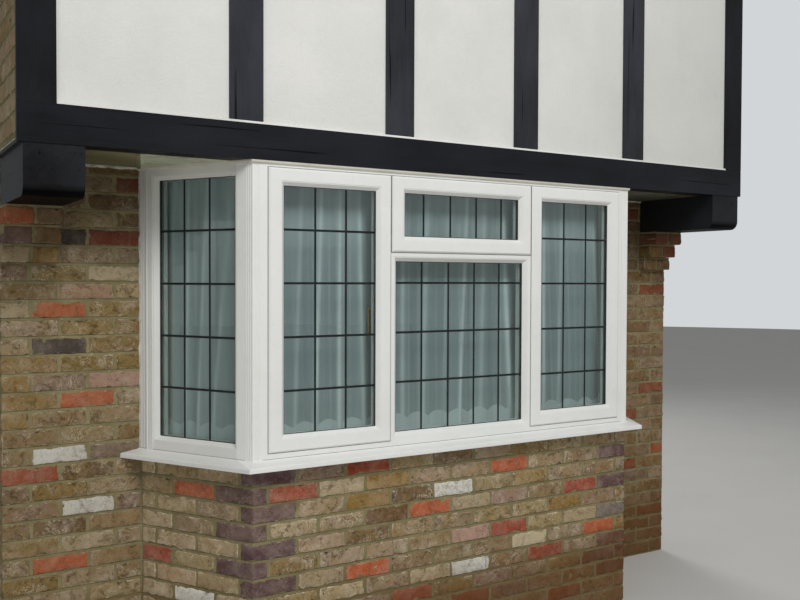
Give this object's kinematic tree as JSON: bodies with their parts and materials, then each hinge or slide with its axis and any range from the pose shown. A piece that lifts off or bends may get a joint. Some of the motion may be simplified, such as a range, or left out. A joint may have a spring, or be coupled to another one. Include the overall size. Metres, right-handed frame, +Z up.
{
  "type": "bay window",
  "caption": "Three sided bay window with white frames on a brick base, set in a brick wall under a projecting storey of black timber and pale render.",
  "frame": {"origin": "centre of the bounding box in plan, on the ground at the foot of the brickwork", "axes": "+X to the right seen from the street, -Y to the street, +Z up"},
  "size_m": [3.816, 0.94, 3.375],
  "materials": {
    "brick": "rough fired clay with sanded lime mortar",
    "block": "rough blockwork",
    "concrete": "cast",
    "white_plastic": "smooth white satin",
    "board_white": "smooth white",
    "glass": "clear with a green tint",
    "spacer": "dark anodised",
    "net_fabric": "thin white net",
    "brass": "polished",
    "black_timber": "satin black paint over grain",
    "pale_timber": "sawn softwood",
    "render": "painted smooth render",
    "soffit_paint": "cream paint, weathered"
  },
  "bodies": {
    "root": {"wall_left": "brick", "wall_right": "brick", "bay_brick_left": "brick", "bay_brick_front": "brick", "bay_brick_right": "brick", "inner_wall_left": "block", "inner_wall_right": "block", "inner_wall_bay": "block", "lintels": "concrete", "window_board": "board_white", "sill_left": "white_plastic", "sill_front": "white_plastic", "sill_right": "white_plastic", "corner_pole_left": "white_plastic", "corner_pole_right": "white_plastic", "frame_left": "white_plastic", "frame_front": "white_plastic", "frame_right": "white_plastic", "casement_left": "white_plastic", "casement_right": "white_plastic", "top_opener": "white_plastic", "glass_side_left": "glass", "glass_side_right": "glass", "glass_casement_left": "glass", "glass_casement_right": "glass", "glass_opener": "glass", "glass_fixed": "glass", "glazing_beads": "white_plastic", "glass_spacers": "spacer", "window_handles": "brass", "curtain_rail": "white_plastic", "net_curtains": "net_fabric", "head_trim": "white_plastic", "soffit": "soffit_paint", "brackets": "black_timber", "bressummer": "black_timber", "side_plates": "black_timber", "floor_joists": "pale_timber", "floor_deck": "pale_timber", "flashing": "white_plastic", "corner_post_left": "black_timber", "corner_post_right": "black_timber", "studs": "black_timber", "render_panels": "render", "brick_returns": "brick"}
  },
  "joints": []
}
